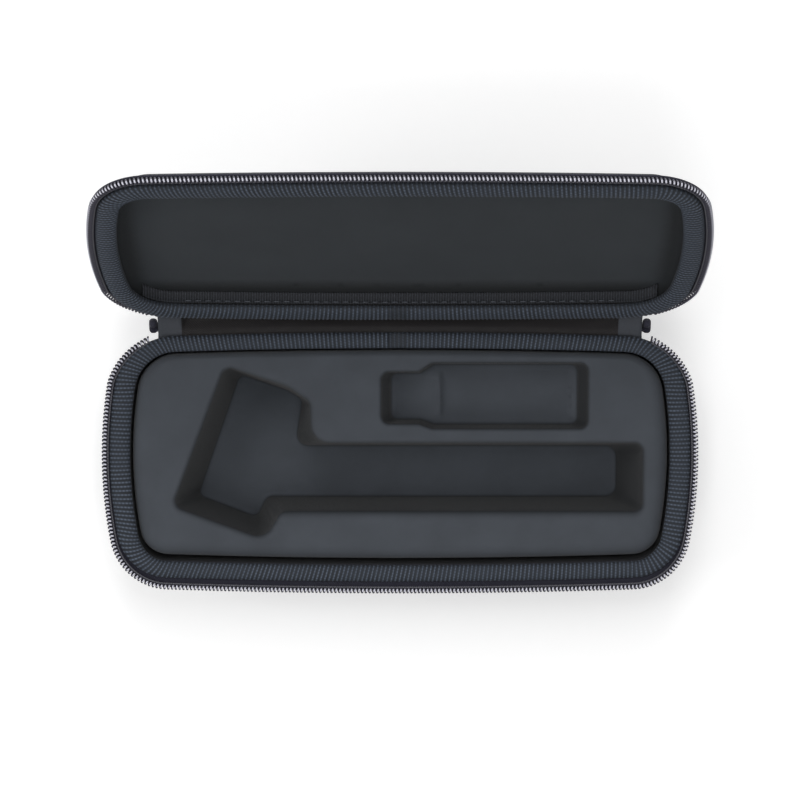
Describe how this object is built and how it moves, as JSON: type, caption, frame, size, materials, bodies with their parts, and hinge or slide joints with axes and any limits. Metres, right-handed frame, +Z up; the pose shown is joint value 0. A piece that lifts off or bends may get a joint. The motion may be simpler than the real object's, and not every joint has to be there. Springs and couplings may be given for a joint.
{
  "type": "dermatoscope case",
  "caption": "Oblong zip-round moulded case with a hinged lid and a soft tray that has a shaped instrument recess and a small bottle recess.",
  "frame": {"origin": "centre of the base's underside, on the table, midway along and across the rim", "axes": "+X along the case towards the end of the handle recess, -Y towards the opening side at the front, +Y towards the hinge, +Z up"},
  "size_m": [0.196, 0.1405, 0.1068],
  "materials": {
    "shell_cloth": "woven cloth laminated on moulded foam",
    "inner_cloth": "thin knitted cloth",
    "tray_cloth": "smooth brushed knit moulded on foam",
    "binding_tape": "ribbed woven tape",
    "zip_tape": "fine woven tape",
    "zip_coil": "moulded coil with light dots of thread",
    "padding_foam": "soft foam",
    "lid_cloth": "smooth brushed knit",
    "ribbed_tape": "ribbed tape",
    "thread": "sewing thread",
    "spine_cloth": "plain woven cloth",
    "slider_metal": "dark enamel"
  },
  "bodies": {
    "base": {"base_shell": "shell_cloth", "base_lining": "inner_cloth", "insert_tray": "tray_cloth", "base_binding": "binding_tape", "base_zip_tape": "zip_tape", "base_zip_coil": "zip_coil", "hinge_spine": "spine_cloth", "zip_fold_left": "zip_tape", "zip_fold_right": "zip_tape", "zip_tail_left": "zip_coil", "zip_tail_right": "zip_coil", "zip_end_tab_left": "spine_cloth", "zip_end_tab_right": "spine_cloth"},
    "lid": {"lid_shell": "shell_cloth", "lid_padding": "padding_foam", "lid_lining": "lid_cloth", "lid_binding": "binding_tape", "lid_zip_tape": "zip_tape", "lid_zip_coil": "zip_coil", "lid_hinge_tape": "ribbed_tape", "lid_hinge_stitches": "thread"},
    "slider_left": {"slider_left": "slider_metal"},
    "slider_right": {"slider_right": "slider_metal"},
    "puller_left": {"puller_left": "slider_metal"},
    "puller_right": {"puller_right": "slider_metal"}
  },
  "joints": [
    {"name": "lid_hinge", "type": "hinge", "parent": "base", "child": "lid", "pos_m": [0, 0.0425, 0.033], "axis": [1, 0, 0], "range_deg": [-58, 122], "deforming": ["hinge_spine"]},
    {"name": "zip_slide_left", "type": "slide", "parent": "base", "child": "slider_left", "axis": [1, 0, 0], "range_m": [0, 0.008]},
    {"name": "zip_slide_right", "type": "slide", "parent": "base", "child": "slider_right", "axis": [-1, 0, 0], "range_m": [0, 0.008]},
    {"name": "puller_swing_left", "type": "hinge", "parent": "slider_left", "child": "puller_left", "pos_m": [-0.0754, 0.04395, 0.0224], "axis": [0, 0, 1], "range_deg": [0, 170]},
    {"name": "puller_swing_right", "type": "hinge", "parent": "slider_right", "child": "puller_right", "pos_m": [0.0754, 0.04395, 0.0224], "axis": [0, 0, -1], "range_deg": [0, 170]}
  ]
}
